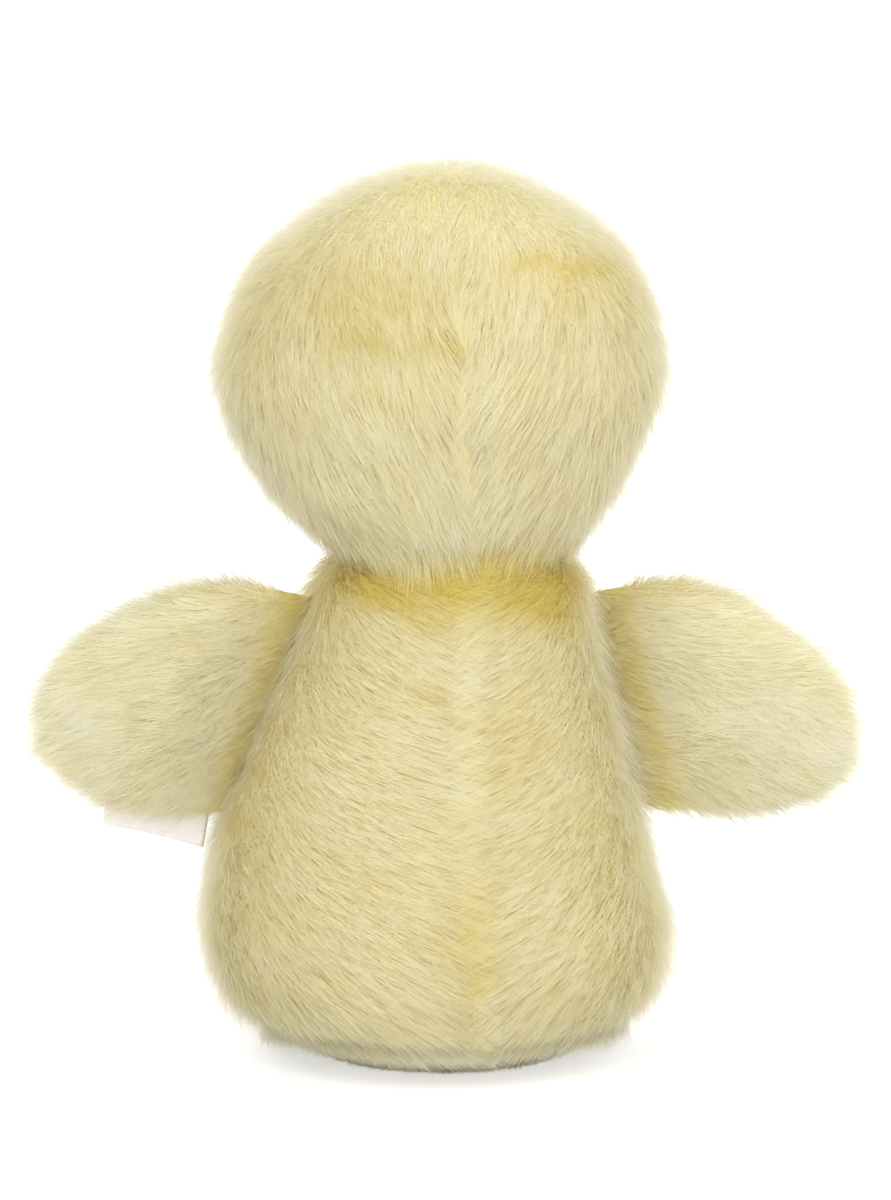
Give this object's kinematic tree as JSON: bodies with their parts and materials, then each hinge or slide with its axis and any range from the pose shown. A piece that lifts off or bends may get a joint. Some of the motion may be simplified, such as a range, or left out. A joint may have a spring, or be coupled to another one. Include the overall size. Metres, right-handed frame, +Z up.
{
  "type": "plush duck",
  "caption": "Sitting stuffed duck of pale lemon plush with a round head, flapping wings, felt bill and felt feet.",
  "frame": {"origin": "middle of the flat base that the duck sits on", "axes": "+Z up through the head, -Y the way the duck faces, +X its left"},
  "size_m": [0.2254, 0.1414, 0.25],
  "materials": {
    "lemon_plush": "long soft pile, matt",
    "orange_felt": "short felt, matt",
    "fibre_filling": "loose fibre",
    "pellet_cloth": "plain weave",
    "label_satin": "satin",
    "eye_black": "polished",
    "washer_plastic": "moulded"
  },
  "bodies": {
    "body": {"body_back_left": "lemon_plush", "body_back_right": "lemon_plush", "body_belly": "lemon_plush", "body_base": "lemon_plush", "body_filling": "fibre_filling", "pellet_bag": "pellet_cloth"},
    "neck": {"neck_filling": "fibre_filling"},
    "head": {"head_crown": "lemon_plush", "head_back_left": "lemon_plush", "head_back_right": "lemon_plush", "head_cheek_left": "lemon_plush", "head_cheek_right": "lemon_plush", "head_filling": "fibre_filling", "eye_left": "eye_black", "eye_right": "eye_black", "eye_washer_left": "washer_plastic", "eye_washer_right": "washer_plastic", "bill_upper": "orange_felt", "bill_lower": "orange_felt", "bill_filling": "fibre_filling"},
    "wing_left": {"wing_back_left": "lemon_plush", "wing_front_left": "lemon_plush", "wing_filling_left": "fibre_filling", "care_label": "label_satin"},
    "wing_right": {"wing_back_right": "lemon_plush", "wing_front_right": "lemon_plush", "wing_filling_right": "fibre_filling"},
    "foot_left": {"foot_upper_left": "orange_felt", "foot_sole_left": "orange_felt", "foot_filling_left": "fibre_filling"},
    "foot_right": {"foot_upper_right": "orange_felt", "foot_sole_right": "orange_felt", "foot_filling_right": "fibre_filling"}
  },
  "joints": [
    {"name": "head_turn", "type": "hinge", "parent": "body", "child": "neck", "pos_m": [0, 0, 0.118], "axis": [0, 0, 1], "range_deg": [-45, 45], "stiffness_Nm_per_rad": 0.2},
    {"name": "head_nod", "type": "hinge", "parent": "neck", "child": "head", "pos_m": [0, 0, 0.118], "axis": [1, 0, 0], "range_deg": [-20, 20], "stiffness_Nm_per_rad": 0.6},
    {"name": "wing_flap_left", "type": "hinge", "parent": "body", "child": "wing_left", "pos_m": [0.04128, -0.00142, 0.12922], "axis": [0.2974, -0.0527, -0.9533], "range_deg": [-50, 60], "stiffness_Nm_per_rad": 0.03},
    {"name": "wing_flap_right", "type": "hinge", "parent": "body", "child": "wing_right", "pos_m": [-0.04128, -0.00142, 0.12922], "axis": [0.2974, 0.0527, 0.9533], "range_deg": [-50, 60], "stiffness_Nm_per_rad": 0.03},
    {"name": "foot_lift_left", "type": "hinge", "parent": "body", "child": "foot_left", "pos_m": [0.02284, -0.03818, 0.005], "axis": [-0.9068, -0.4216, 0], "range_deg": [0, 25], "stiffness_Nm_per_rad": 0.02},
    {"name": "foot_lift_right", "type": "hinge", "parent": "body", "child": "foot_right", "pos_m": [-0.02284, -0.03818, 0.005], "axis": [-0.9068, 0.4216, 0], "range_deg": [0, 25], "stiffness_Nm_per_rad": 0.02}
  ]
}
